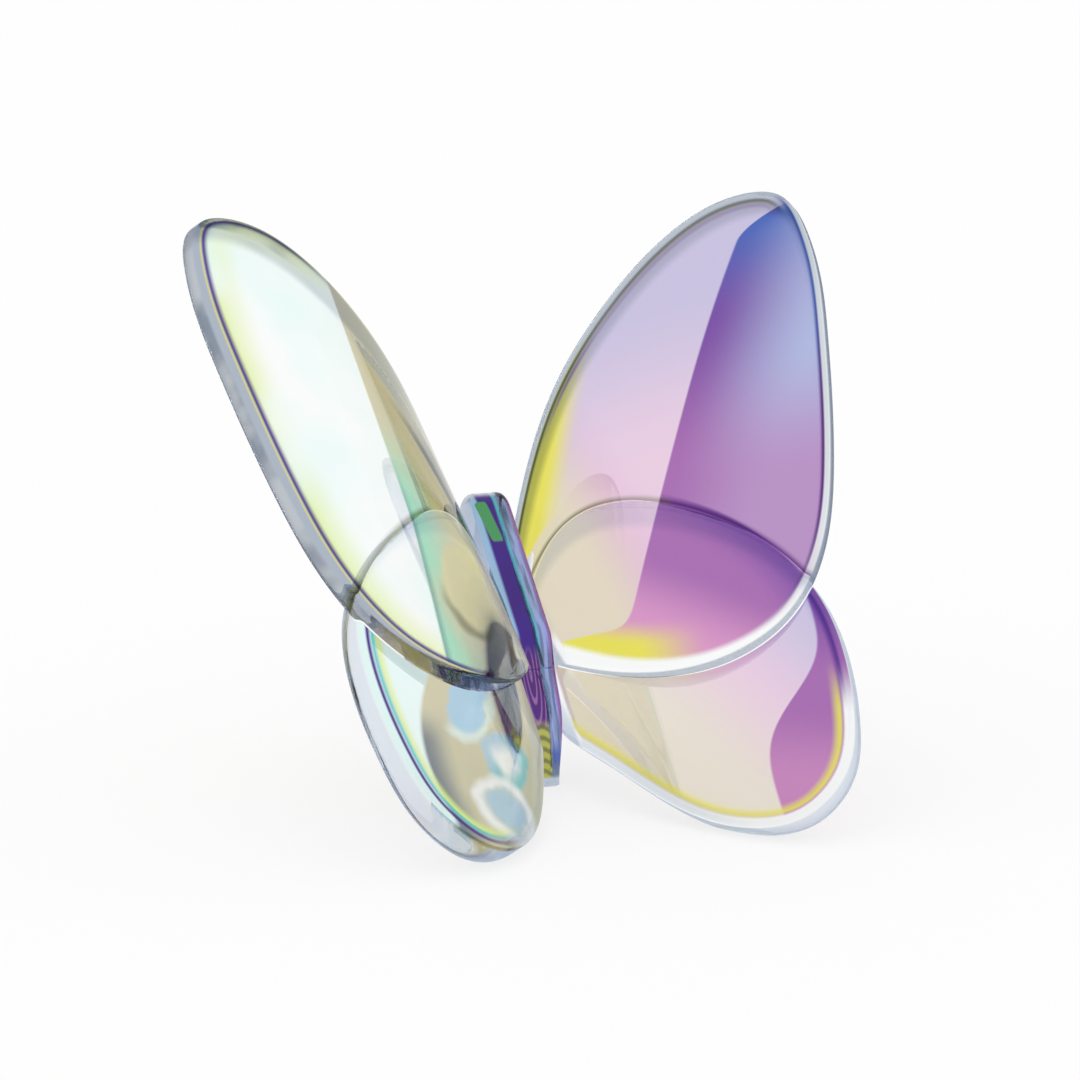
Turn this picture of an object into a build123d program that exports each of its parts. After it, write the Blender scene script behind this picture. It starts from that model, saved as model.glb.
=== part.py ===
"""Crystal butterfly ornament: a body bar and four cambered wings of clear glass.

Frame: +Z up, millimetres. The butterfly is mirror-symmetric in X, its wings open
towards -Y, and Z = 0 is the table that the tail end and both hindwings stand on.
The origin lies on the table, below the middle of the ornament's box.
"""
import os
from math import cos, radians, sin

from build123d import *

# Attitude of the ornament (degrees)
root_lean = 50.4            # wing-root line, leaning back from the vertical
wing_half_angle = 49.0      # half of the V between the mean planes of the wings

# Forewing, in its own plane: x away from the body, y up the root line, z into the V
fore_thickness = 3.0
fore_camber_radius = 38.6   # front face, curved across the wing
fore_camber_turn = -14.4    # degrees from x towards y, the direction across the wing
fore_camber_middle = 15.0   # highest line of the front face, measured along that direction
fore_outline = [
    (0.7, 22.5), (9.4, 31.5), (18.8, 37.2), (30.9, 42.4), (38.6, 43.6),
    (43.3, 42.1), (44.5, 36.8), (42.3, 23.0), (37.4, 5.3), (32.4, -6.3),
    (25.8, -13.1), (18.1, -14.7), (9.6, -11.8), (1.0, -4.6), (-6.0, 6.0),
]

# Hindwing, in the same plane
hind_thickness = 4.5
hind_camber_radius = 52.0
hind_camber_turn = 0.0
hind_camber_middle = 13.5
hind_step = 2.75            # hindwing's front face, behind the forewing's
hind_outline = [
    (5.0, 14.8), (13.5, 12.2), (21.0, 6.4), (27.3, -1.3), (30.6, -9.4),
    (31.2, -18.0), (30.0, -26.6), (26.8, -34.0), (21.6, -37.0), (14.4, -34.9),
    (7.5, -28.0), (1.2, -18.0), (-6.0, -4.0), (-4.0, 10.0),
]

# Wing edges: crisp in front, well rounded behind
front_edge_radius = 0.55
fore_back_radius = 1.2
hind_back_radius = 2.1

# Body bar. Along and across the root line: heights up it, and depths into the V
body_width = 4.8
thorax_depth = 8.0
thorax_front = -2.4
thorax_top = 20.2           # a dome as deep as the bar stands on it, the head
thorax_bottom = 1.7
# Abdomen, in the plane of symmetry: places behind and above the root line's reference point
abdomen_front = [(1.2, -4.6), (-1.0, -8.6), (-2.4, -12.0)]
abdomen_back = [(3.3, -14.8), (5.9, -11.4), (9.8, -7.4)]
tail_front = -3.4
tail_back = 2.6
tail_width = 2.9
tail_taper_height = 9.0     # height above the table where the body starts to narrow
body_edge_radius = 1.0
ripple_count = 3
ripple_depth = 0.25
ripple_radius = 1.1
ripple_pitch = 1.4
ripple_start = 1.9          # height of the lowest ripple above the table

# Ground flats
foot_flat_depth = 0.35      # ground off the lowest point of each hindwing

ROOM = 60.0                 # reach of the cutting blocks, past every piece
FINE = 0.01                 # smallest length that counts


def wing_plane():
    """Plane of the right wing: x away from the body, y up the root line, z into the V."""
    lean, half = radians(root_lean), radians(wing_half_angle)
    opening = Vector(0, -cos(lean), sin(lean))
    sideways = Vector(1, 0, 0)
    away = opening * cos(half) + sideways * sin(half)
    inward = opening * sin(half) - sideways * cos(half)
    return Plane(origin=(0, 0, 0), x_dir=away, z_dir=inward)


def on_bar(height, depth):
    """Point in the plane of symmetry, from a height up the root line and a depth into the V."""
    lean = radians(root_lean)
    return (height * sin(lean) - depth * cos(lean), height * cos(lean) + depth * sin(lean))


def camber_cylinder(radius, top, middle, turn):
    """Cylinder under a wing face: its highest line stands at height top over the wing plane."""
    across = Vector(cos(radians(turn)), sin(radians(turn)), 0)
    along = Vector(-across.Y, across.X, 0)
    centre = across * middle + Vector(0, 0, top - radius)
    axis = Plane(origin=centre, x_dir=(0, 0, -1), z_dir=along)
    return axis.location * Cylinder(radius, 4 * ROOM)


def outline_prism(outline):
    """Everything inside a wing outline, in front of and behind the wing plane."""
    return extrude(make_face(Spline(outline, periodic=True)), amount=ROOM / 2, both=True)


def rounded(solid, front, radius):
    """The solid with the edges round its front or back face rounded, one of its two largest."""
    faces = solid.faces().filter_by(GeomType.CYLINDER).sort_by(SortBy.AREA)[-2:]
    face = faces.sort_by(Axis.Z)[-1 if front else 0]
    return fillet(face.outer_wire().edges(), radius)


def rounded_plate(prism, front, back, back_radius):
    """Cambered plate between two coaxial cylinders, with its front and back edges rounded."""
    plate = rounded((prism & front) - back, True, front_edge_radius)
    return rounded(plate, False, back_radius)


def right_wings():
    """Right forewing and hindwing in the ornament's frame, the hindwing cut to seat the other."""
    place = wing_plane().location
    fore_prism = outline_prism(fore_outline)
    fore_place = (fore_camber_middle, fore_camber_turn)
    fore_front = camber_cylinder(fore_camber_radius, 0, *fore_place)
    fore_back = camber_cylinder(fore_camber_radius - fore_thickness, -fore_thickness, *fore_place)
    fore = rounded_plate(fore_prism, fore_front, fore_back, fore_back_radius)
    hind_place = (hind_camber_middle, hind_camber_turn)
    hind_depth = hind_step + hind_thickness
    hind_front = camber_cylinder(hind_camber_radius, -hind_step, *hind_place)
    hind_back = camber_cylinder(hind_camber_radius - hind_thickness, -hind_depth, *hind_place)
    hind = rounded_plate(outline_prism(hind_outline), hind_front, hind_back, hind_back_radius)
    # The hindwing's seat follows the forewing's back and is clear of all that stands before it
    seat = rounded(fore_prism - fore_back, False, fore_back_radius)
    hind = hind - seat
    # Both roots are ground flat where they meet the side of the body bar
    root_block = Pos(body_width / 2 - ROOM, 0, 0) * Box(2 * ROOM, 4 * ROOM, 4 * ROOM)
    return place * fore - root_block, place * hind - root_block


def body_bar(table):
    """Thorax bar with a domed head, and the abdomen that curves down to the tail on the table."""
    half, back = body_width / 2, thorax_front - thorax_depth
    top_front, top_back = on_bar(thorax_top, thorax_front), on_bar(thorax_top, back)
    bend_front, bend_back = on_bar(thorax_bottom, thorax_front), on_bar(thorax_bottom, back)
    crown = on_bar(thorax_top + thorax_depth / 2, thorax_front - thorax_depth / 2)
    up_bar, down_bar = on_bar(1, 0), on_bar(-1, 0)
    side_view = Curve() + [
        Line(top_front, bend_front),
        Spline(bend_front, *abdomen_front, (tail_front, table), tangents=(down_bar, (0, -1))),
        Line((tail_front, table), (tail_back, table)),
        Spline((tail_back, table), *abdomen_back, bend_back, tangents=((0, 1), up_bar)),
        Line(bend_back, top_back),
        ThreePointArc(top_back, crown, top_front),
    ]
    bar = extrude(Plane.YZ.offset(-half) * make_face(side_view), amount=body_width)
    # Seen from the front, the abdomen narrows in a smooth curve to the tail
    shoulder = table + tail_taper_height
    right_edge = Spline((half, shoulder), (tail_width / 2, table), tangents=((0, -1), (0, -1)))
    front_view = Curve() + [
        right_edge,
        mirror(right_edge, about=Plane.YZ),
        Line((-tail_width / 2, table), (tail_width / 2, table)),
        Polyline((half, shoulder), (half, shoulder + ROOM), (-half, shoulder + ROOM), (-half, shoulder)),
    ]
    bar = bar & extrude(Plane.XZ.offset(-ROOM) * make_face(front_view), amount=2 * ROOM)
    # The long edges are rounded: all but the cross lines, the seam at the shoulder and the foot
    long_edges = ShapeList(
        e for e in bar.edges()
        if abs((e @ 0).X - (e @ 1).X) < half and abs((e @ 0).Z - (e @ 1).Z) > FINE
    )
    bar = fillet(long_edges, body_edge_radius)
    # Shallow grooves run across the front of the tail
    groove_face = tail_front - ripple_radius + ripple_depth
    for number in range(ripple_count):
        height = table + ripple_start + number * ripple_pitch
        bar = bar - Pos(0, groove_face, height) * Rot(0, 90, 0) * Cylinder(ripple_radius, ROOM)
    return bar


def reach(pieces, axis):
    """Lowest and highest place of the pieces along an axis, X, Y or Z."""
    places = [getattr(corner, axis) for piece in pieces for corner in piece.tessellate(FINE)[0]]
    return min(places), max(places)


def build():
    """All pieces, standing on Z = 0 with the origin below the middle of their box."""
    fore, hind = right_wings()
    table = reach([hind], "Z")[0] + foot_flat_depth
    hind = hind - Pos(0, 0, table - ROOM) * Box(4 * ROOM, 4 * ROOM, 2 * ROOM)
    body = body_bar(table)
    front, rear = reach([fore, hind, body], "Y")
    stand = Pos(0, -(front + rear) / 2, -table)
    pieces = {"body": stand * body}
    for name, wing in (("forewing", fore), ("hindwing", hind)):
        pieces[f"right_{name}"] = stand * wing
        pieces[f"left_{name}"] = mirror(stand * wing, about=Plane.YZ)
    return pieces


os.makedirs("parts", exist_ok=True)
for node, piece in build().items():
    piece.label = node
    export_step(piece, f"parts/{node}.step")
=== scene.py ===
"""Crystal butterfly ornament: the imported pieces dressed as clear, iridescent glass on a pale stage.

Sizes are in metres. A wing is drawn in its own plane (x away from the body, y up the root line,
z into the V between the wings), bent to its camber, then placed in the part's frame.
"""
from math import cos, radians, sin

import bmesh
import bpy
import numpy as np
from bpy.props import FloatProperty, FloatVectorProperty, PointerProperty
from mathutils import Matrix, Vector
from mathutils.bvhtree import BVHTree
from mathutils.geometry import delaunay_2d_cdt


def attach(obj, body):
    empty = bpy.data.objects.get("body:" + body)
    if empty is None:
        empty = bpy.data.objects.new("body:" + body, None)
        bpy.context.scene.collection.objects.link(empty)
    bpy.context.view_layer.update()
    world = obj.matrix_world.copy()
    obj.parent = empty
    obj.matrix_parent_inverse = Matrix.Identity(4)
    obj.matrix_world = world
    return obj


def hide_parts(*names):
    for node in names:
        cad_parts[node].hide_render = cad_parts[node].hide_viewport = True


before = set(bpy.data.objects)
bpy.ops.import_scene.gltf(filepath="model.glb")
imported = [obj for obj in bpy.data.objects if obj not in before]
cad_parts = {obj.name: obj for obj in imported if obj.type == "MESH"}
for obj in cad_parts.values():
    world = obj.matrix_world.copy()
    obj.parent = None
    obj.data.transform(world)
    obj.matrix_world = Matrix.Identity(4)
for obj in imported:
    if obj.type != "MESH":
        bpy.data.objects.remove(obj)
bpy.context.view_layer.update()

bl_info = {
    "name": "Crystal butterfly ornament",
    "version": (1, 0, 0),
    "blender": (4, 5, 0),
    "location": "View3D > Sidebar > Butterfly",
    "description": "Builds a clear, iridescent glass butterfly over its packed solids",
    "category": "Add Mesh",
}

MM = 0.001

# Wing outlines in the wing plane, in millimetres
FORE_OUTLINE = [
    (0.7, 22.5), (9.4, 31.5), (18.8, 37.2), (30.9, 42.4), (38.6, 43.6),
    (43.3, 42.1), (44.5, 36.8), (42.3, 23.0), (37.4, 5.3), (32.4, -6.3),
    (25.8, -13.1), (18.1, -14.7), (9.6, -11.8), (1.0, -4.6), (-6.0, 6.0),
]
HIND_OUTLINE = [
    (5.0, 14.8), (13.5, 12.2), (21.0, 6.4), (27.3, -1.3), (30.6, -9.4),
    (31.2, -18.0), (30.0, -26.6), (26.8, -34.0), (21.6, -37.0), (14.4, -34.9),
    (7.5, -28.0), (1.2, -18.0), (-6.0, -4.0), (-4.0, 10.0),
]
CURVE_STEPS = 60            # places worked out between two points of an outline
OUTLINE_COUNT = 420         # corners round a wing's rim
ARC_ROWS = 7                # rows of faces over a rounded edge
WALL_ROWS = 3               # rows of faces over the rim between its rounded edges
GRID = 0.8 * MM             # spacing of the corners on a wing's faces
ROOM = 60 * MM              # reach of the cutting blocks, past every piece
SEAM = 0.02 * MM            # clear space at the wing roots, so that two faces never coincide
BOND_FILL = 0.12            # gap between the wings that the clear bond fills, in millimetres
FORE_IOR = 1.14             # how strongly each glass bends the view through it
HIND_IOR = 1.12
BODY_IOR = 1.2
COAT_IOR = 3.0
RIM_HAZE = 0.85             # share of the rims that light passes straight through
SHADOW_PASS = 0.85          # share of the light that the glass lets into its shadow
SEAT_TOP = 8 * MM           # height of the seat's cutter over the wing plane
SEAT_EDGE = 0.1 * MM        # rounding of that cutter's upper edge
MERGE = 0.002 * MM          # corners of the body closer than this are one
SHARP = radians(25)         # edges of the body that turn more than this stay crisp
FLOOR_RADIUS = 3.0
FLOOR_WHITE = 0.7           # share of plain white in the floor that the camera sees
FORWARD = Vector((0.0, -0.9, 0.44))     # the way that the body's coated front faces
CAMERA_EYE = Vector((-182.47, -523.71, 146.99)) * MM
CAMERA_AIM = Vector((0.652, 8.119, 27.88)) * MM
CAMERA_LENS = 166.67        # focal length and sensor width, in millimetres
CAMERA_SENSOR = 36


def length(name, description, default):
    """A length property, in metres."""
    return FloatProperty(name=name, description=description, default=default, unit="LENGTH", precision=5)


def angle(name, description, degrees):
    """An angle property."""
    return FloatProperty(name=name, description=description, default=radians(degrees), subtype="ANGLE")


def colour(name, description, default):
    """A colour property without alpha."""
    return FloatVectorProperty(
        name=name, description=description, default=default, size=3, subtype="COLOR", min=0, max=1
    )


class ButterflySizes(bpy.types.PropertyGroup):
    """Sizes of the ornament and the place of its wing plane."""

    root_lean: angle("Root lean", "Lean of the wing-root line from the vertical", 50.4)
    half_angle: angle("Half angle", "Half of the V between the wings", 49.0)
    root_back: length("Root back", "Reference point of the root line behind the middle", 6.1487 * MM)
    root_height: length("Root height", "Reference point of the root line above the table", 18.0791 * MM)
    body_width: length("Body width", "Width of the body bar between the wing roots", 4.8 * MM)
    fore_thickness: length("Forewing thickness", "Glass thickness of a forewing", 3.0 * MM)
    fore_radius: length("Forewing camber", "Radius of a forewing's front face", 38.6 * MM)
    fore_turn: angle("Forewing turn", "Direction across the camber of a forewing", -14.4)
    fore_middle: length("Forewing middle", "Highest line of a forewing's front face", 15.0 * MM)
    fore_edge: length("Forewing back edge", "Radius of a forewing's rounded back edge", 1.2 * MM)
    hind_thickness: length("Hindwing thickness", "Glass thickness of a hindwing", 4.5 * MM)
    hind_radius: length("Hindwing camber", "Radius of a hindwing's front face", 52.0 * MM)
    hind_turn: angle("Hindwing turn", "Direction across the camber of a hindwing", 0.0)
    hind_middle: length("Hindwing middle", "Highest line of a hindwing's front face", 13.5 * MM)
    hind_step: length("Hindwing step", "Hindwing's front face behind the forewing's", 2.75 * MM)
    hind_edge: length("Hindwing back edge", "Radius of a hindwing's rounded back edge", 2.1 * MM)
    front_edge: length("Front edge", "Radius of the crisp front edges", 0.55 * MM)


class ButterflyLook(bpy.types.PropertyGroup):
    """Colours of the iridescent coating and the stage; several also paint light and shade, as the comments
    below say.
    """

    yellow: colour("Yellow", "Coating near roots, along edges and on the tail", (0.82, 0.76, 0.12))
    cream: colour("Cream", "Coating between the yellow and the rose", (0.78, 0.70, 0.56))
    rose: colour("Rose", "Coating in the middle of the right wings", (0.78, 0.50, 0.70))
    lavender: colour("Lavender", "Coating high on the right forewing", (0.46, 0.40, 0.68))
    pink: colour("Pink", "Coating low in the middle of the right wings", (0.74, 0.34, 0.60))
    orchid: colour("Orchid", "Coating low at the right wings' outer margins", (0.50, 0.31, 0.58))
    magenta: colour("Magenta", "Coating low on the right wings", (0.41, 0.17, 0.46))
    violet: colour("Violet", "Coating half way up the right forewing", (0.21, 0.09, 0.39))
    # Blue also paints a glint on the tail.
    blue: colour("Blue", "Coating at the right forewing's tip", (0.08, 0.15, 0.50))
    sky: colour("Sky", "Coating near the right forewing's outer margin and on the body", (0.46, 0.52, 0.78))
    # Ice paints reflections in the left hindwing's pale patches and a highlight along the body's left edge.
    ice: colour("Ice", "Pale blue patches on the left hindwing and a line on the body", (0.46, 0.68, 0.86))
    # Slate paints shade at the left forewing's root edge and along the border of its reflection.
    slate: colour("Slate", "Dark glass at the left wings' edges and on the body", (0.12, 0.17, 0.25))
    # Graphite is painted shade: the dark wall of the left forewing's rim.
    graphite: colour("Graphite", "Edge-on glass of the left forewing's rim", (0.05, 0.07, 0.11))
    # Moss paints shade lines along the wings' edges and round the leaf reflection; on the tail it is a
    # stripe colour.
    moss: colour("Moss", "Dark lines along the wings' edges and on the tail", (0.12, 0.14, 0.06))
    # Plum paints shade lines on the right forewing, along the hindwing's edge and at the outer margin; on
    # the abdomen it colours the rings.
    plum: colour("Plum", "Dark lines of the right wings and the abdomen", (0.12, 0.03, 0.22))
    # Sand is a painted reflection: the leaf on the left forewing.
    sand: colour("Sand", "Pale leaf low on the left forewing", (0.72, 0.68, 0.43))
    jade: colour("Jade", "Coating beside the left forewing's middle line", (0.40, 0.76, 0.58))
    mint: colour("Mint", "Coating on the left wings", (0.80, 0.97, 0.94))
    lime: colour("Lime", "Coating near the left wings' outer margins", (0.74, 0.88, 0.30))
    olive: colour("Olive", "Coating near the left wings' roots", (0.68, 0.64, 0.46))
    green: colour("Green", "Patch beside the head", (0.10, 0.42, 0.14))
    # Indigo paints dark shade lines along the hindwings' edges and the left forewing's rim, and colours the
    # body's front facet.
    indigo: colour("Indigo", "Coating along the edges and on the body", (0.07, 0.02, 0.26))
    # Teal also paints a highlight line on the body's front facet.
    teal: colour("Teal", "Line in the left hindwing's edge and on the body", (0.14, 0.60, 0.64))
    # Clear also paints white highlight bands along the wings' edges, at the forewing's lower step and in
    # clouds on the left forewing.
    clear: colour("Clear", "Bare glass", (0.97, 0.985, 0.98))
    rim: colour("Rim", "Clear glass of the hindwings' rims and the foot", (0.74, 0.79, 0.86))
    # Steel also paints shade: the darker band at the left forewing's outer rim.
    steel: colour("Steel", "Darker glass of the forewings' rims", (0.43, 0.48, 0.56))
    floor: colour("Floor", "Stage floor", (0.97, 0.97, 0.97))


class Sock:
    """A node socket with arithmetic: each operation adds a Math node to the socket's tree."""

    def __init__(self, tree, socket):
        self.tree = tree
        self.socket = socket

    @classmethod
    def node(cls, tree, kind, inputs=None, output=0, **settings):
        """Any node by its type name, with its settings and inputs, as the socket it gives."""
        made = tree.nodes.new(kind)
        for name, value in settings.items():
            setattr(made, name, value)
        for key, value in (inputs or {}).items():
            cls.plug(tree, value, made.inputs[key])
        return cls(tree, made.outputs[output]) if made.outputs else made

    @staticmethod
    def plug(tree, value, target):
        """Links a wrapped socket, or sets a constant, on an input."""
        if isinstance(value, Sock):
            tree.links.new(value.socket, target)
        elif hasattr(value, "__len__") and not isinstance(value, str) and target.type == "RGBA":
            target.default_value = (*value, 1.0)[:4]
        else:
            target.default_value = value

    def math(self, operation, *values):
        """A Math node on this socket and more values."""
        return Sock.node(self.tree, "ShaderNodeMath", dict(enumerate((self, *values))), operation=operation)

    def __add__(self, other):
        return self.math("ADD", other)

    def __radd__(self, other):
        return self.math("ADD", other)

    def __mul__(self, other):
        return self.math("MULTIPLY", other)

    def __rmul__(self, other):
        return self.math("MULTIPLY", other)

    def __sub__(self, other):
        return self.math("SUBTRACT", other)

    def __rsub__(self, other):
        return (self * -1.0).math("ADD", other)

    def __truediv__(self, other):
        return self.math("DIVIDE", other)

    def __rtruediv__(self, other):
        return self.math("POWER", -1.0) * other

    def rise(self, start, end):
        """0 before start and 1 past end, with a smooth way between; start may be the larger one."""
        inputs = {"Value": self, "From Min": start, "From Max": end, "To Min": 0.0, "To Max": 1.0}
        return Sock.node(self.tree, "ShaderNodeMapRange", inputs, interpolation_type="SMOOTHSTEP")

    def blend(self, first, second):
        """Colour between two, by this socket."""
        inputs = {0: self, 6: first, 7: second}
        return Sock.node(self.tree, "ShaderNodeMix", inputs, output=2, data_type="RGBA")


def closed_curve(points, count):
    """Corners spaced evenly along the smooth closed curve through the points, counter-clockwise."""
    knots = np.array(points, float) * MM
    after = np.roll(knots, -1, axis=0)
    step = np.linalg.norm(after - knots, axis=1)
    number = len(knots)
    system = np.zeros((number, number))
    bend = np.zeros((number, 2))
    for i in range(number):
        h, k = step[i - 1], step[i]
        system[i, i - 1] += h
        system[i, i] += 2 * (h + k)
        system[i, (i + 1) % number] += k
        bend[i] = 6 * ((after[i] - knots[i]) / k - (knots[i] - knots[i - 1]) / h)
    bend = np.linalg.solve(system, bend)
    share = np.linspace(0, 1, CURVE_STEPS, endpoint=False)[:, None]
    rest = 1 - share
    curve = []
    for i in range(number):
        line = rest * knots[i] + share * after[i]
        sag = (rest**3 - rest) * bend[i] + (share**3 - share) * bend[(i + 1) % number]
        curve.append(line + sag * step[i] ** 2 / 6)
    curve = np.vstack([*curve, knots[:1]])
    run = np.append(0, np.cumsum(np.linalg.norm(np.diff(curve, axis=0), axis=1)))
    places = np.linspace(0, run[-1], count, endpoint=False)
    even = np.column_stack([np.interp(places, run, curve[:, k]) for k in (0, 1)])
    turned = np.roll(even, -1, axis=0)
    area = np.sum(even[:, 0] * turned[:, 1] - turned[:, 0] * even[:, 1])
    return even if area > 0 else even[::-1]


def inside(places, outline):
    """Which places lie inside the outline, by counting its crossings."""
    ahead = np.roll(outline, -1, axis=0)
    found = np.zeros(len(places), bool)
    for (x0, y0), (x1, y1) in zip(outline, ahead):
        if y0 == y1:
            continue
        crosses = (y0 > places[:, 1]) != (y1 > places[:, 1])
        found ^= crosses & (places[:, 0] < x0 + (places[:, 1] - y0) * (x1 - x0) / (y1 - y0))
    return found


def edge_distance(places, outline):
    """Distance of each place from the outline."""
    nearest = np.full(len(places), np.inf)
    for start, end in zip(outline, np.roll(outline, -1, axis=0)):
        side = end - start
        share = np.clip((places - start) @ side / (side @ side), 0, 1)
        nearest = np.minimum(nearest, np.hypot(*(places - start - share[:, None] * side).T))
    return nearest


def cylinder_height(radius, top, middle, turn):
    """Height of a cambered face over the wing plane, as a function of places in that plane."""
    across = np.array([cos(turn), sin(turn)])

    def height(places):
        off = places @ across - middle
        return top - radius + np.sqrt(radius**2 - off**2)

    return height


def rim_rows(outline, inward, height, radius, side):
    """Rows of corners over a rounded edge, from the rim's wall to the face; side is 1 in front."""
    nudge = 0.05 * MM
    level = height(outline)
    slope = side * (height(outline + inward * nudge) - level) / nudge
    tilt = np.sqrt(1 + slope**2)
    centre = side * level + radius * (slope - tilt)
    sweep = np.arctan2(1, slope)
    rows = []
    for share in np.linspace(0, 1, ARC_ROWS + 1):
        place = outline + inward * (radius * (1 - np.cos(share * sweep)))[:, None]
        rows.append(np.column_stack([place, side * (centre + radius * np.sin(share * sweep))]))
    rows[-1][:, 2] = height(rows[-1][:, :2])
    return rows


def face_grid(ring):
    """Corners and triangles that fill a ring: its own corners first, then an even grid."""
    low, high = ring.min(axis=0), ring.max(axis=0)
    rows = np.arange(low[1], high[1], GRID * 0.866)
    shift = [(row % 2) * GRID / 2 for row in range(len(rows))]
    grid = [(x, y) for y, s in zip(rows, shift) for x in np.arange(low[0] + s, high[0], GRID)]
    grid = np.array(grid)
    grid = grid[inside(grid, ring)]
    grid = grid[edge_distance(grid, ring) > 0.6 * GRID]
    places = np.vstack([ring, grid])
    loop = [(i, (i + 1) % len(ring)) for i in range(len(ring))]
    result = delaunay_2d_cdt([Vector(p) for p in places / MM], loop, [], 1, 1e-6)
    source = [origin[0] for origin in result[3]]
    return grid, [[source[i] for i in face] for face in result[2]]


def plate(outline, front, back, front_radius, back_radius):
    """Closed plate between two height functions with rounded edges, as corners and faces."""
    ahead = np.roll(outline, -1, axis=0) - np.roll(outline, 1, axis=0)
    inward = np.column_stack([-ahead[:, 1], ahead[:, 0]]) / np.linalg.norm(ahead, axis=1)[:, None]
    front_rows = rim_rows(outline, inward, front, front_radius, 1)
    back_rows = rim_rows(outline, inward, back, back_radius, -1)
    wall = [
        front_rows[0] + (back_rows[0] - front_rows[0]) * row / WALL_ROWS for row in range(1, WALL_ROWS)
    ]
    rows = front_rows[::-1] + wall + back_rows
    count = len(outline)
    corners = list(np.vstack(rows))
    faces = []
    for row in range(len(rows) - 1):
        for i in range(count):
            j = (i + 1) % count
            upper, lower = row * count, (row + 1) * count
            faces.append((upper + j, upper + i, lower + i, lower + j))
    for ring, height, start, flip in (
        (rows[0], front, 0, False),
        (rows[-1], back, (len(rows) - 1) * count, True),
    ):
        grid, triangles = face_grid(ring[:, :2])
        first = len(corners)
        corners += list(np.column_stack([grid, height(grid)]))
        for triangle in triangles:
            numbers = [start + i if i < count else first + i - count for i in triangle]
            faces.append(numbers[::-1] if flip else numbers)
    return np.array(corners), faces


def mesh_object(name, corners, faces):
    """An object with a smooth mesh from corners and faces."""
    mesh = bpy.data.meshes.new(name)
    mesh.from_pydata([tuple(c) for c in corners], [], faces)
    mesh.shade_smooth()
    made = bpy.data.objects.new(name, mesh)
    bpy.context.scene.collection.objects.link(made)
    return made


def settle(made):
    """Turns an object's modifiers into its mesh."""
    graph = bpy.context.evaluated_depsgraph_get()
    mesh = bpy.data.meshes.new_from_object(made.evaluated_get(graph))
    made.modifiers.clear()
    old, made.data = made.data, mesh
    bpy.data.meshes.remove(old)
    mesh.name = made.name
    return made


def camber_tree():
    """Node tree that bends a flat plate round an axis behind it, as coaxial layers of glass."""
    tree = bpy.data.node_groups.new("Camber a plate", "GeometryNodeTree")
    face = tree.interface
    face.new_socket("Geometry", in_out="OUTPUT", socket_type="NodeSocketGeometry")
    face.new_socket("Geometry", in_out="INPUT", socket_type="NodeSocketGeometry")
    for name in ("Radius", "Top", "Middle", "Turn"):
        face.new_socket(name, in_out="INPUT", socket_type="NodeSocketFloat")
    face.new_socket("Material", in_out="INPUT", socket_type="NodeSocketMaterial")
    entry = tree.nodes.new("NodeGroupInput")
    given = {socket.name: Sock(tree, socket) for socket in entry.outputs if socket.name}
    position = Sock.node(tree, "GeometryNodeInputPosition")
    split = Sock.node(tree, "ShaderNodeSeparateXYZ", {0: position}).socket.node
    x, y, depth = (Sock(tree, split.outputs[k]) for k in range(3))
    turn = given["Turn"]
    off = x * turn.math("COSINE") + y * turn.math("SINE") - given["Middle"]
    layer = given["Radius"] + depth
    height = given["Top"] - given["Radius"] + (layer * layer - off * off).math("SQRT")
    bent = Sock.node(tree, "ShaderNodeCombineXYZ", {0: x, 1: y, 2: height})
    moved = Sock.node(tree, "GeometryNodeSetPosition", {"Geometry": given["Geometry"], "Position": bent})
    real = Sock.node(tree, "GeometryNodeRealizeInstances", {"Geometry": moved})
    inputs = {"Geometry": real, "Material": given["Material"]}
    coated = Sock.node(tree, "GeometryNodeSetMaterial", inputs)
    leave = tree.nodes.new("NodeGroupOutput")
    tree.links.new(coated.socket, leave.inputs[0])
    return tree


def cambered(name, outline, front, back, edges, camber, material):
    """A wing plate: its flat layers made first, then bent by the node tree; camber names its inputs."""
    corners, faces = plate(outline, front, back, *edges)
    off = corners[:, 0] * cos(camber["Turn"]) + corners[:, 1] * sin(camber["Turn"]) - camber["Middle"]
    axis = camber["Top"] - camber["Radius"]
    corners[:, 2] = np.hypot(corners[:, 2] - axis, off) - camber["Radius"]
    made = mesh_object(name, corners, faces)
    modifier = made.modifiers.new("Camber", "NODES")
    modifier.node_group = bpy.data.node_groups.get("Camber a plate") or camber_tree()
    for item in modifier.node_group.interface.items_tree:
        if item.in_out == "INPUT" and item.name in camber:
            modifier[item.identifier] = camber[item.name]
        elif item.in_out == "INPUT" and item.name == "Material":
            modifier[item.identifier] = material
    return settle(made)


def wing_frame(sizes):
    """Matrix from the right wing's plane to the part's frame."""
    lean, half = sizes.root_lean, sizes.half_angle
    opening = Vector((0, -cos(lean), sin(lean)))
    sideways = Vector((1, 0, 0))
    away = opening * cos(half) + sideways * sin(half)
    inward = opening * sin(half) - sideways * cos(half)
    up = inward.cross(away)
    place = Matrix((away, up, inward)).transposed().to_4x4()
    place.translation = (0, sizes.root_back, sizes.root_height)
    return place


def block(name, low, high):
    """A cutting block between two corners."""
    made = bpy.data.meshes.new(name)
    shape = bmesh.new()
    bmesh.ops.create_cube(shape, size=1)
    for corner in shape.verts:
        corner.co = [low[k] if corner.co[k] < 0 else high[k] for k in range(3)]
    shape.to_mesh(made)
    shape.free()
    cutter = bpy.data.objects.new(name, made)
    bpy.context.scene.collection.objects.link(cutter)
    return cutter


def cut(made, cutters):
    """The object less its cutters, which are used up."""
    for cutter in cutters:
        modifier = made.modifiers.new("Cut", "BOOLEAN")
        modifier.operation = "DIFFERENCE"
        modifier.solver = "EXACT"
        modifier.object = cutter
    settle(made)
    for cutter in cutters:
        mesh = cutter.data
        bpy.data.objects.remove(cutter)
        bpy.data.meshes.remove(mesh)
    return made


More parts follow.
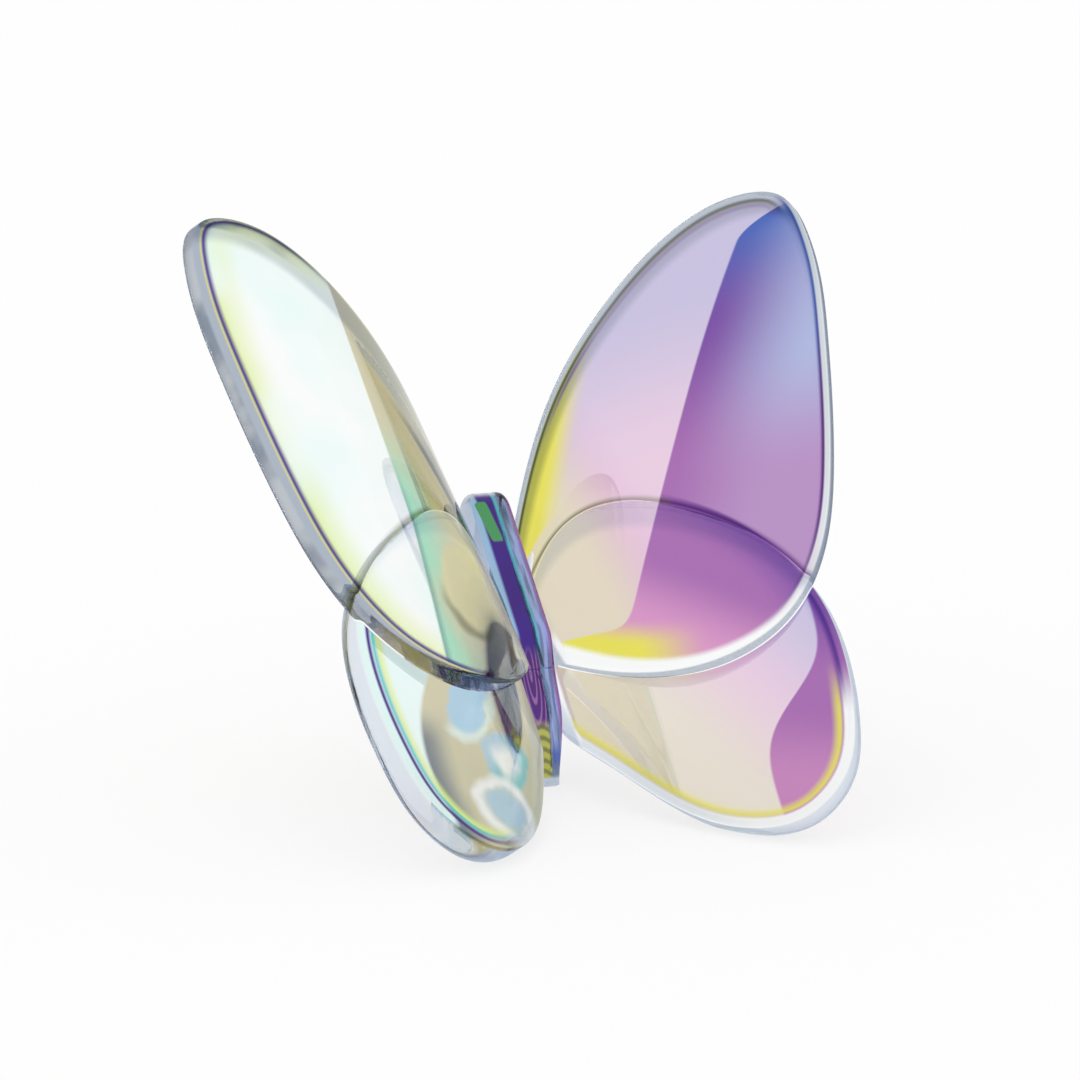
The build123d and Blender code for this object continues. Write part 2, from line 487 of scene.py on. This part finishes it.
class Skin:
    """Smooth normals of an uncut surface, for the faces that a cut leaves of it."""

    def __init__(self, made, side):
        mesh = made.data
        self.side = side
        self.corners = [v.co.copy() for v in mesh.vertices]
        self.normals = [v.normal.copy() for v in mesh.vertices]
        mesh.calc_loop_triangles()
        self.faces = [tuple(t.vertices) for t in mesh.loop_triangles]
        self.tree = BVHTree.FromPolygons(self.corners, self.faces)

    def distance(self, place):
        """Distance of a place from the surface."""
        return self.tree.find_nearest(place)[3]

    def depth(self, place):
        """Depth of a place below the surface, negative outside."""
        near, normal, _, away = self.tree.find_nearest(place)
        return away if (place - near).dot(normal) < 0 else -away

    def normal(self, place):
        """Smooth normal at the surface's nearest place."""
        near, _, number, _ = self.tree.find_nearest(place)
        face = self.faces[number]
        a, b, c = (self.corners[i] for i in face)
        whole = (b - a).cross(c - a).length
        shares = ((b - near).cross(c - near).length, (c - near).cross(a - near).length)
        weights = (shares[0] / whole, shares[1] / whole)
        na, nb, nc = (self.normals[i] for i in face)
        mixed = na * weights[0] + nb * weights[1] + nc * (1 - weights[0] - weights[1])
        return (mixed * self.side).normalized()


def dress(made, skins, place, shape, bonded, other):
    """Sets a cut wing's normals, its wing-plane measures and where it is bonded to the other wing."""
    outline, front = shape
    mesh = made.data
    normals = [None] * len(mesh.loops)
    bond = np.full(len(mesh.loops), -1.0)
    for face in mesh.polygons:
        flat = abs(face.normal.x) > 0.99999 or face.normal.z < -0.99999
        skin = min(skins, key=lambda s: s.distance(face.center))
        for loop in face.loop_indices:
            corner = mesh.vertices[mesh.loops[loop].vertex_index].co
            normals[loop] = face.normal.copy() if flat else skin.normal(corner)
            sealed = 1.0 if skin.side < 0 and not flat else bonded.depth(corner) / MM + BOND_FILL
            bond[loop] = -1.0 if flat else sealed
    mesh.normals_split_custom_set(normals)
    mesh.attributes.new("bond", "FLOAT", "CORNER").data.foreach_set("value", bond)
    back = place.inverted()
    local = np.array([back @ v.co for v in mesh.vertices])
    flat_places = local[:, :2]
    layer = mesh.uv_layers.new(name="wing_plane")
    numbers = np.array([loop.vertex_index for loop in mesh.loops])
    layer.data.foreach_set("uv", (flat_places[numbers] / MM).astype(np.float32).ravel())
    lap = edge_distance(flat_places, other) * np.where(inside(flat_places, other), 1, -1)
    measures = {
        "edge": edge_distance(flat_places, outline),
        "depth": front(flat_places) - local[:, 2],
        "lap": lap,
    }
    for name, values in measures.items():
        mesh.attributes.new(name, "FLOAT", "POINT").data.foreach_set("value", values / MM)


def mirrored(made, name):
    """A copy of the object, mirrored in X."""
    mesh = made.data.copy()
    normals = np.zeros(len(mesh.loops) * 3)
    mesh.corner_normals.foreach_get("vector", normals)
    keyed = {}
    for loop, normal in zip(made.data.loops, normals.reshape(-1, 3)):
        keyed[loop.index] = normal * (-1, 1, 1)
    owner = {}
    for face in made.data.polygons:
        for loop in face.loop_indices:
            owner[(face.index, made.data.loops[loop].vertex_index)] = keyed[loop]
    mesh.transform(Matrix.Diagonal((-1, 1, 1, 1)))
    mesh.flip_normals()
    turned = [None] * len(mesh.loops)
    for face in mesh.polygons:
        for loop in face.loop_indices:
            turned[loop] = Vector(owner[(face.index, mesh.loops[loop].vertex_index)])
    mesh.normals_split_custom_set(turned)
    copy = bpy.data.objects.new(name, mesh)
    bpy.context.scene.collection.objects.link(copy)
    return copy


def wing_parts(sizes):
    """Uncut plates of the right wings and the seat's cutter, in the part's frame, with the frame."""
    fore, hind = closed_curve(FORE_OUTLINE, OUTLINE_COUNT), closed_curve(HIND_OUTLINE, OUTLINE_COUNT)
    place = wing_frame(sizes)
    fore_camber = dict(Radius=sizes.fore_radius, Top=0.0, Middle=sizes.fore_middle, Turn=sizes.fore_turn)
    hind_camber = dict(
        Radius=sizes.hind_radius, Top=-sizes.hind_step, Middle=sizes.hind_middle, Turn=sizes.hind_turn
    )

    def faces(camber, thickness):
        rest = (camber["Middle"], camber["Turn"])
        front = cylinder_height(camber["Radius"], camber["Top"], *rest)
        back = cylinder_height(camber["Radius"] - thickness, camber["Top"] - thickness, *rest)
        return front, back

    fore_faces = faces(fore_camber, sizes.fore_thickness)
    hind_faces = faces(hind_camber, sizes.hind_thickness)
    glass = bpy.data.materials.get("Uncoated") or bpy.data.materials.new("Uncoated")
    fore_edges = (sizes.front_edge, sizes.fore_edge)
    hind_edges = (sizes.front_edge, sizes.hind_edge)
    made = {
        "fore": cambered("right_forewing_glass", fore, *fore_faces, fore_edges, fore_camber, glass),
        "hind": cambered("right_hindwing_glass", hind, *hind_faces, hind_edges, hind_camber, glass),
    }

    def top(places):
        return np.full(len(places), SEAT_TOP)

    seat = plate(fore, top, fore_faces[1], SEAT_EDGE, sizes.fore_edge)
    made["seat"] = mesh_object("seat", *seat)
    for piece in made.values():
        piece.data.transform(place)
        piece.data.update()
    return made, place, (fore, fore_faces[0]), (hind, hind_faces[0])


def show(piece, node, material):
    """The piece stands for its CAD node, rides on the root body and wears its material."""
    piece.data.materials.clear()
    piece.data.materials.append(material)
    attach(piece, "root")
    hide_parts(node)


def glass_material(name, paint, bend, rim_colour):
    """Coated glass; paint gives the coating's colour, cover and gloss, the rim and the bare glass."""
    material = bpy.data.materials.new(name)
    material.use_nodes = True
    tree = material.node_tree
    tree.nodes.clear()
    look = bpy.context.scene.butterfly_look
    tint, cover, gloss, rim, bare = paint(tree, look)
    deep = Sock.node(tree, "ShaderNodeVectorMath", {0: tint, 1: tint}, operation="MULTIPLY")
    inputs = {
        "Base Color": cover.blend(bare, deep),
        "Roughness": 0.0,
        "IOR": bend,
        "Transmission Weight": 1.0,
        "Coat Weight": gloss,
        "Coat Roughness": 0.0,
        "Coat IOR": COAT_IOR,
    }
    glass = Sock.node(tree, "ShaderNodeBsdfPrincipled", inputs)
    pass_on = Sock.node(tree, "ShaderNodeBsdfTransparent", {"Color": (1.0, 1.0, 1.0)})
    haze = Sock.node(tree, "ShaderNodeBsdfTransparent", {"Color": rim_colour})
    edged = Sock.node(tree, "ShaderNodeMixShader", {0: rim, 1: glass, 2: haze})
    shadow = Sock.node(tree, "ShaderNodeLightPath", output=1)
    share = measure(tree, "bond").math("GREATER_THAN", 0.0).math("MAXIMUM", shadow * SHADOW_PASS)
    mixed = Sock.node(tree, "ShaderNodeMixShader", {0: share, 1: edged, 2: pass_on})
    Sock.node(tree, "ShaderNodeOutputMaterial", {"Surface": mixed})
    return material


def noise(tree, scale, detail=2.0):
    """Soft noise between 0 and 1, over the ornament's own coordinates."""
    place = Sock.node(tree, "ShaderNodeTexCoord", output=3)
    inputs = {"Vector": place, "Scale": scale, "Detail": detail}
    return Sock.node(tree, "ShaderNodeTexNoise", inputs)


def measure(tree, name):
    """A number stored on the mesh."""
    return Sock.node(tree, "ShaderNodeAttribute", output=2, attribute_name=name)


def wing_places(tree):
    """Wing-plane coordinates in millimetres: away from the body, up the root line, in from the edge."""
    plane = Sock.node(tree, "ShaderNodeUVMap", uv_map="wing_plane")
    split = Sock.node(tree, "ShaderNodeSeparateXYZ", {0: plane}).socket.node
    return Sock(tree, split.outputs[0]), Sock(tree, split.outputs[1]), measure(tree, "edge")


def wing_coat(tree, tint, reflection_veil, bare, haze=RIM_HAZE):
    """The coating covers the front face, is glossiest within the reflection veil, where the coat reflects
    the white surroundings, and leaves the rim hazy.
    """
    edge, depth = measure(tree, "edge"), measure(tree, "depth")
    front = depth.rise(0.9, 0.35)
    rim = (1.0 - front) * edge.rise(2.4, 0.8) * haze
    gloss = front * reflection_veil * edge.rise(0.8, 2.2)
    return tint, front, gloss, rim, bare


def band(value, start, middle, end):
    """1 at the middle of a soft band, 0 outside it."""
    return value.rise(start, middle) * value.rise(end, middle)


def oval(across, along, centre, reach, turn=0.0):
    """Distance from an oval's centre, as a share of its reach: 1 on the oval's line."""
    right, over = across - centre[0], along - centre[1]
    long_way = (right * cos(turn) + over * sin(turn)) / reach[0]
    short_way = (over * cos(turn) - right * sin(turn)) / reach[1]
    return (long_way * long_way + short_way * short_way).math("SQRT")


def lap_line(tree, look, edge_shade):
    """Bare glass with a dark line of painted shade on the back face, where the hindwing's upper edge lies
    on it.
    """
    lap, depth = measure(tree, "lap"), measure(tree, "depth")
    line = band(lap, -1.0, -0.2, 0.6) * depth.rise(1.5, 2.5)
    return line.blend(look.clear, edge_shade)


# Painted sheen: the right wings are painted purple, rose and cream and the left wings mint, the colours
# that the iridescent coating shows at each pair's angle to the camera.
def right_fore_paint(tree, look):
    """Veiled yellow, cream, rose and lavender inside; magenta, violet and blue up the outer part; painted
    highlight and shade lines along the edges.
    """
    away, up, edge = wing_places(tree)
    lens = measure(tree, "lap").rise(-0.3, 0.1)
    climb = up + away * 0.1
    bow = (up - 20.0).math("MAXIMUM", 0.0)
    hook = (up - 37.0).math("MAXIMUM", 0.0)
    border = up * 0.615 + bow * bow * 0.0025 + hook * hook * 0.35 + 13.6
    deep = climb.rise(12.0, 32.0).blend(look.magenta, look.violet)
    deep = climb.rise(30.0, 44.0).blend(deep, look.blue)
    pale = climb.rise(8.0, 26.0).blend(look.orchid, look.sky)
    cool = ((away - border).rise(0.0, 15.0) * 0.95).blend(deep, pale)
    # Painted shade: darker violet in the lens, next to the hindwing's upper edge.
    shade = measure(tree, "lap").rise(5.0, 0.0) * away.rise(12.0, 28.0) * 0.8
    shade = shade.blend(look.magenta, look.violet)
    glow = ((away + up * 0.9).rise(17.0, 6.0) * 0.9).blend(shade, look.pink)
    cool = lens.blend(cool, glow)
    foot = edge.rise(6.5, 3.0) * (up + away * 0.3).rise(1.0, -1.5) * away.rise(19.0, 10.0)
    cool = foot.blend(cool, look.yellow)
    lead = (away - 0.7) * 0.719 - (up - 22.5) * 0.695
    gold = (lead + (up - 20.0) * 0.25).rise(8.2, 4.4) * (1.0 - lens * 0.75)
    warm = (away + up * 0.15).rise(8.0, 17.0).blend(look.cream, look.rose)
    warm = (up + away * 0.2).rise(16.0, 40.0).blend(warm, look.lavender)
    warm = gold.blend(warm, look.yellow)
    inner = (border - away).math("SMOOTH_MIN", up + away * 0.5 + 1.0, 5.0).rise(-0.2, 0.2)
    # Partly painted reflection: inside the border, where the coat's reflection lies, the colours are paler
    # and warmer.
    tint = inner.blend(cool, warm)
    # Painted highlight: white bare glass along the lower edge, where the forewing steps onto the hindwing.
    step = (edge + away * 0.06).rise(2.5, 1.5) * (up + away * 0.3).rise(2.0, -1.0)
    tint = step.blend(tint, look.clear)
    # Painted shade and highlight along the leading edge: a violet and a dark moss line, then white bare
    # glass at the rim.
    high = (up - away * 0.57).rise(14.0, 18.0)
    tint = (band(edge, 1.7, 2.1, 2.7) * high * up.rise(24.0, 32.0)).blend(tint, look.violet)
    tint = (band(edge, 1.0, 1.5, 2.1) * high).blend(tint, look.moss)
    tint = (edge.rise(1.4, 0.9) * high).blend(tint, look.clear)
    # Painted highlight and shade at the outer margin: white bare glass at the rim, with a dark plum-to-blue
    # line inside it.
    margin = away.rise(24.0, 36.0) * (1.0 - high)
    tint = (edge.rise(0.6, 0.3) * margin).blend(tint, look.clear)
    shade_thread = climb.rise(14.0, 34.0).blend(look.plum, look.blue)
    tint = (band(edge, 0.25, 0.5, 0.9) * margin).blend(tint, shade_thread)
    reflection_veil = inner * (1.0 - gold * 0.8) * (away + up * 0.3).rise(11.0, 22.0)
    # Painted shade: the line's colour, plum on the outer side of the border and moss inside it.
    edge_shade = (border - away).rise(-0.2, 0.2).blend(look.plum, look.moss)
    return wing_coat(tree, tint, reflection_veil, lap_line(tree, look, edge_shade))


def right_hind_paint(tree, look):
    """Veiled cream and rose; a magenta patch at the outer margin and yellow along the lower edge, with
    painted highlight and shade lines at the edges.
    """
    away, up, edge = wing_places(tree)
    warm = (away + up * 0.5).rise(0.0, 14.0).blend(look.cream, look.rose)
    warm = (away + up * 0.4).rise(12.0, 26.0).blend(warm, look.lavender)
    cool = ((up + away * 0.6).rise(-8.0, -20.0) * 0.6).blend(look.magenta, look.pink)
    cool = (edge.rise(6.0, 1.0) * up.rise(-22.0, -12.0) * 0.8).blend(cool, look.violet)
    margin = ((up + 22.3) / 4.5).math("TANH") * 5.2 + 24.5
    reflection_veil = (margin - away).rise(-0.2, 0.2)
    # Partly painted reflection: within the reflection veil the colours are paler and warmer.
    tint = reflection_veil.blend(cool, warm)
    lower = (up + away * 0.5).rise(-4.0, -12.0)
    tint = (band(edge, 0.9, 1.3, 2.4) * lower * 0.9).blend(tint, look.yellow)
    # Painted highlight: white bare glass at the lower edge. Painted shade: a dark indigo line along the
    # other edges.
    tint = (edge.rise(1.1, 0.7) * lower).blend(tint, look.clear)
    tint = (band(edge, 0.3, 0.7, 1.5) * (1.0 - lower) * 0.8).blend(tint, look.indigo)
    return wing_coat(tree, tint, reflection_veil, look.clear)


def left_fore_paint(tree, look):
    """Mint with a lime outer margin and painted white highlight clouds; jade and olive next to the root,
    round a pale leaf that is a painted reflection; painted shade at the rims.
    """
    away, up, edge = wing_places(tree)
    outer = (away - up * 0.2).rise(14.0, 24.0)
    # Painted highlights: noise lays pale clouds of bare glass over the mint.
    tint = noise(tree, 60.0).rise(0.35, 0.65).blend(look.clear, look.mint)
    glow = noise(tree, 75.0, 1.0).rise(0.25, 0.60)
    tint = (edge.rise(5.5, 1.2) * outer * glow * 0.8).blend(tint, look.lime)
    border = (up - 5.0).math("MAXIMUM", 0.0) * 0.1 + 22.1
    reflection_veil = (away - border).rise(-0.25, 0.25)
    inner = ((border - away).rise(9.0, 0.0) * up.rise(22.0, 8.0)).blend(look.olive, look.jade)
    # Painted reflection: a pale sand leaf, olive round its lower half and outlined low down in dark moss.
    leaf_reflection = oval(away + (up + 1.0) * 0.25, up, (14.6, -1.0), (5.0, 7.0))
    leaf_reflection = leaf_reflection + (noise(tree, 110.0) - 0.5) * 0.5
    inner = (leaf_reflection.rise(1.7, 1.0) * up.rise(2.0, -6.0) * 0.8).blend(inner, look.olive)
    inner = leaf_reflection.rise(1.1, 0.85).blend(inner, look.sand)
    inner = (band(leaf_reflection, 0.8, 1.0, 1.2) * up.rise(-1.0, -7.0) * 0.6).blend(inner, look.moss)
    # Painted shade: a dark slate line just inside the border of the reflection.
    inner = (band(border - away, -0.2, 0.2, 1.2) * up.rise(16.0, 4.0) * 0.45).blend(inner, look.slate)
    # Partly painted reflection: within the reflection veil the colour turns to pale mint.
    tint = reflection_veil.blend(inner, tint)
    # Painted shade at the outer rim: darker steel glass at the edge, with a thin yellow line and a dark
    # indigo line.
    tint = (edge.rise(0.8, 0.5) * outer).blend(tint, look.steel)
    tint = (band(edge, 0.3, 0.5, 0.7) * outer * 0.7).blend(tint, look.yellow)
    tint = (band(edge, 0.5, 0.8, 1.5) * outer * 0.95).blend(tint, look.indigo)
    # Painted shade at the root's edge and in the rim's wall: slate colour, and dark graphite glass where
    # less of the rim is haze.
    root = (up - away * 0.57).rise(12.0, 16.0) * up.rise(33.0, 26.0)
    tint = (edge.rise(1.6, 0.9) * root).blend(tint, look.slate)
    wall = edge.rise(0.5, 0.1) * 0.7 + noise(tree, 150.0).rise(0.35, 0.65) * 0.3
    rim_shade = (root * 0.9).math("MAXIMUM", outer * wall)
    bare = (edge.rise(1.2, 0.6) * rim_shade).blend(lap_line(tree, look, look.moss), look.graphite)
    return wing_coat(tree, tint, reflection_veil, bare, RIM_HAZE - rim_shade * 0.7)


def left_hind_paint(tree, look):
    """Mint at the margin, olive with pale blue ovals next to the root that are painted reflections, and
    coloured edge lines with a painted dark indigo line.
    """
    away, up, edge = wing_places(tree)
    outer = (away + up * 0.2).rise(6.0, 16.0)
    margin = 26.9 - (up + 27.0) * (up + 27.0) * 0.026
    reflection_veil = (away - margin).rise(-0.4, 0.4)
    inner = ((margin - away).rise(5.0, 0.2) * up.rise(-19.0, -25.0) * 0.75).blend(look.olive, look.slate)
    warp = noise(tree, 170.0) - 0.5
    side, rise = away + warp * 6.0, up - warp * 4.0
    # Painted reflections and refractions of other parts: the pocket, the pool and the ring are pale ice,
    # teal and white shapes.
    pocket_reflection = oval(side, rise, (17.2, -16.8), (5.2, 2.6), radians(-50))
    inner = (pocket_reflection.rise(1.6, 1.2) * (away + up).rise(2.0, -1.0) * 0.7).blend(inner, look.mint)
    inner = (pocket_reflection.rise(1.2, 0.9) * 0.9).blend(inner, look.ice)
    pool_reflection = oval(side, rise, (13.0, -23.0), (5.4, 3.4), radians(-40))
    water = (away + up).rise(-6.0, -13.0).blend(look.ice, look.teal)
    inner = (pool_reflection.rise(1.2, 0.9) * 0.8).blend(inner, water)
    inner = pool_reflection.rise(0.9, 0.2).blend(inner, look.clear)
    ring = oval(away + warp * 5.0, up + warp * 3.0, (15.5, -30.4), (5.9, 4.8), radians(-21))
    inner = (band(ring, 0.45, 0.8, 1.15) * 0.9).blend(inner, look.clear)
    inner = (ring.rise(0.75, 0.45) * 0.8).blend(inner, look.ice)
    # Partly painted reflection: within the reflection veil the colour turns to pale mint.
    tint = reflection_veil.blend(inner, look.mint)
    tint = (band(edge, 1.2, 1.8, 3.0) * outer).blend(tint, look.lime)
    tint = (band(edge, 0.9, 1.3, 1.9) * outer).blend(tint, look.teal)
    # Painted shade: a dark indigo line along the outer edge.
    tint = (band(edge, 0.3, 0.7, 1.2) * outer).blend(tint, look.indigo)
    return wing_coat(tree, tint, reflection_veil, look.clear)


def body_paint(tree, look):
    """Indigo front facet between pale lines that are painted highlights, a green patch by the head, plum
    rings and an olive tail with a painted blue glint.
    """
    sizes = bpy.context.scene.butterfly_sizes
    place = Sock.node(tree, "ShaderNodeTexCoord", output=3)
    split = Sock.node(tree, "ShaderNodeSeparateXYZ", {0: place}).socket.node
    x, y, height = (Sock(tree, split.outputs[k]) / MM for k in range(3))
    along = (y - sizes.root_back / MM) * sin(sizes.root_lean)
    along = along + (height - sizes.root_height / MM) * cos(sizes.root_lean)
    streaks = Sock.node(tree, "ShaderNodeCombineXYZ", {0: x * 1.2, 1: along * 0.12})
    streaks = Sock.node(tree, "ShaderNodeTexNoise", {"Vector": streaks, "Scale": 1.6, "Detail": 1.0})
    right = (streaks.rise(0.42, 0.62) * 0.7).blend(look.sky, look.slate)
    right = x.rise(1.5, 1.9).blend(right, look.magenta)
    right = (band(along, 15.0, 19.0, 22.0) * x.rise(1.8, 1.2)).blend(right, look.slate)
    tint = x.rise(0.3, 0.6).blend(look.indigo, right)
    # Painted highlights: a teal line at the front facet's right edge and a pale ice line down the body's
    # left edge.
    tint = band(x, 0.0, 0.35, 0.8).blend(tint, look.teal)
    tint = x.rise(-1.6, -2.0).blend(tint, look.ice)
    lean = ((x + 1.1 + (along - 17.8) * 0.12) / 0.7).math("ABSOLUTE")
    patch = lean.math("SMOOTH_MAX", ((along - 17.8) / 3.0).math("ABSOLUTE"), 0.5)
    tint = patch.rise(1.06, 0.96).blend(tint, look.green)
    tint = along.rise(21.5, 23.0).blend(tint, look.clear)
    rings = oval(x, height, (-0.9, 12.5), (0.5, 3.0))
    lines = ((rings * 8.0).math("SINE").rise(0.2, 1.0) * 0.5).blend(look.plum, look.pink)
    tint = (height.rise(16.0, 13.5) * x.rise(0.7, 0.3)).blend(tint, lines)
    wave = (height * 5.0 + (x * 2.5).math("SINE") * 1.4).math("SINE").rise(-0.6, 1.0)
    tail = (wave * 0.55 + 0.2).blend(look.yellow, look.moss)
    # Painted glint: blue on the tail's right side.
    glint = (band(height, 1.5, 3.5, 5.5) * 0.8).blend(right, look.blue)
    tail = x.rise(0.2, 0.5).blend(tail, glint)
    tint = height.rise(7.8, 6.2).blend(tint, tail)
    tint = height.rise(1.2, 0.7).blend(tint, look.clear)
    cover = measure(tree, "facing").rise(-0.1, 0.3)
    bare = noise(tree, 130.0, 1.0).rise(0.35, 0.65).blend(look.steel, look.sky)
    return tint, cover, cover * 0.05, height.rise(1.4, 0.6) * RIM_HAZE, bare


class BUTTERFLY_OT_wings(bpy.types.Operator):
    """Build the two pairs of wings over their CAD nodes"""

    bl_idname = "butterfly.wings"
    bl_label = "Build wings"

    def execute(self, context):
        sizes = context.scene.butterfly_sizes
        made, place, fore_shape, hind_shape = wing_parts(sizes)
        fore, hind, seat = made["fore"], made["hind"], made["seat"]
        fore_skin, hind_skin, seat_skin = Skin(fore, 1), Skin(hind, 1), Skin(seat, -1)
        side = sizes.body_width / 2 + SEAM
        low = (-ROOM, -ROOM, -ROOM)
        cut(fore, [block("root", low, (side, ROOM, ROOM))])
        foot = block("foot", low, (ROOM, ROOM, 0.0))
        cut(hind, [seat, block("root", low, (side, ROOM, ROOM)), foot])
        dress(fore, [fore_skin], place, fore_shape, hind_skin, hind_shape[0])
        dress(hind, [hind_skin, seat_skin], place, hind_shape, seat_skin, fore_shape[0])
        pieces = {
            "right_forewing": (fore, right_fore_paint),
            "right_hindwing": (hind, right_hind_paint),
            "left_forewing": (mirrored(fore, "left_forewing_glass"), left_fore_paint),
            "left_hindwing": (mirrored(hind, "left_hindwing_glass"), left_hind_paint),
        }
        look = context.scene.butterfly_look
        for node, (piece, paint) in pieces.items():
            bend = FORE_IOR if "fore" in node else HIND_IOR
            rim_colour = look.steel if "fore" in node else look.rim
            slot = node.split("_")[1] + "_glass"
            show(piece, node, glass_material(f"{node}_coating", paint, bend, rim_colour))
        return {"FINISHED"}


class BUTTERFLY_OT_body(bpy.types.Operator):
    """Build the body bar over its CAD node"""

    bl_idname = "butterfly.body"
    bl_label = "Build body"

    def execute(self, context):
        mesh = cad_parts["body"].data.copy()
        mesh.name = "body_glass"
        shape = bmesh.new()
        shape.from_mesh(mesh)
        bmesh.ops.remove_doubles(shape, verts=shape.verts, dist=MERGE)
        shape.to_mesh(mesh)
        shape.free()
        mesh.shade_smooth()
        mesh.set_sharp_from_angle(angle=SHARP)
        piece = bpy.data.objects.new("body_glass", mesh)
        context.scene.collection.objects.link(piece)
        bond = np.full(len(mesh.loops), -1.0)
        mesh.attributes.new("bond", "FLOAT", "CORNER").data.foreach_set("value", bond)
        facing = [v.normal.dot(FORWARD) for v in mesh.vertices]
        mesh.attributes.new("facing", "FLOAT", "POINT").data.foreach_set("value", facing)
        coating = glass_material("body_coating", body_paint, BODY_IOR, context.scene.butterfly_look.rim)
        show(piece, "body", coating)
        return {"FINISHED"}


def seen_white(tree):
    """1 where the camera sees a surface, straight, mirrored or through glass."""
    path = Sock.node(tree, "ShaderNodeLightPath").socket.node
    rays = ("Is Camera Ray", "Is Glossy Ray", "Is Transmission Ray")
    straight, reflected, through = (Sock(tree, path.outputs[name]) for name in rays)
    return straight.math("MAXIMUM", reflected).math("MAXIMUM", through)


def studio_world(scene):
    """White all round, the plain light of the scene and what the glass shows."""
    world = bpy.data.worlds.new("Studio")
    world.use_nodes = True
    scene.world = world
    tree = world.node_tree
    tree.nodes.clear()
    back = Sock.node(tree, "ShaderNodeBackground", {"Color": (1.0, 1.0, 1.0), "Strength": 1.0})
    Sock.node(tree, "ShaderNodeOutputWorld", {"Surface": back})


def studio_floor(scene):
    """Pale floor that keeps the ornament's soft shadow."""
    material = bpy.data.materials.new("Floor")
    material.use_nodes = True
    tree = material.node_tree
    tree.nodes.clear()
    white = seen_white(tree)
    lit = Sock.node(tree, "ShaderNodeBsdfDiffuse", {"Color": scene.butterfly_look.floor})
    plain = Sock.node(tree, "ShaderNodeEmission", {"Color": (1.0, 1.0, 1.0), "Strength": 1.0})
    mixed = Sock.node(tree, "ShaderNodeMixShader", {0: white * FLOOR_WHITE, 1: lit, 2: plain})
    Sock.node(tree, "ShaderNodeOutputMaterial", {"Surface": mixed})
    shape = bmesh.new()
    bmesh.ops.create_circle(shape, cap_ends=True, radius=FLOOR_RADIUS, segments=96)
    mesh = bpy.data.meshes.new("Floor")
    shape.to_mesh(mesh)
    shape.free()
    mesh.materials.append(material)
    floor = bpy.data.objects.new("Floor", mesh)
    floor.location.z = -SEAM
    scene.collection.objects.link(floor)


class BUTTERFLY_OT_stage(bpy.types.Operator):
    """Set the white surroundings, the floor and the camera"""

    bl_idname = "butterfly.stage"
    bl_label = "Set the stage"

    def execute(self, context):
        scene = context.scene
        studio_world(scene)
        studio_floor(scene)
        camera = bpy.data.cameras.new("Camera")
        holder = bpy.data.objects.new("Camera", camera)
        scene.collection.objects.link(holder)
        holder.location = CAMERA_EYE
        holder.rotation_euler = (CAMERA_AIM - CAMERA_EYE).to_track_quat("-Z", "Y").to_euler()
        camera.sensor_width = CAMERA_SENSOR
        camera.lens = CAMERA_LENS
        camera.clip_start = 0.01
        scene.camera = holder
        scene.view_settings.view_transform = "Standard"
        return {"FINISHED"}


class BUTTERFLY_PT_panel(bpy.types.Panel):
    """Panel with the ornament's settings and steps"""

    bl_label = "Crystal butterfly"
    bl_idname = "BUTTERFLY_PT_panel"
    bl_space_type = "VIEW_3D"
    bl_region_type = "UI"
    bl_category = "Butterfly"

    def draw(self, context):
        layout = self.layout
        for group in (context.scene.butterfly_sizes, context.scene.butterfly_look):
            box = layout.box()
            for name in group.__annotations__:
                box.prop(group, name)
        for step in STEPS:
            layout.operator(step.bl_idname)


STEPS = (BUTTERFLY_OT_wings, BUTTERFLY_OT_body, BUTTERFLY_OT_stage)
CLASSES = (ButterflySizes, ButterflyLook, *STEPS, BUTTERFLY_PT_panel)


def register():
    """Registers the classes and the scene's settings."""
    for item in CLASSES:
        bpy.utils.register_class(item)
    bpy.types.Scene.butterfly_sizes = PointerProperty(type=ButterflySizes)
    bpy.types.Scene.butterfly_look = PointerProperty(type=ButterflyLook)


def unregister():
    """Takes the settings and classes away."""
    del bpy.types.Scene.butterfly_look
    del bpy.types.Scene.butterfly_sizes
    for item in reversed(CLASSES):
        bpy.utils.unregister_class(item)


def main():
    """Builds the ornament and its stage."""
    register()
    bpy.ops.butterfly.wings()
    bpy.ops.butterfly.body()
    bpy.ops.butterfly.stage()


if __name__ == "__main__":
    main()
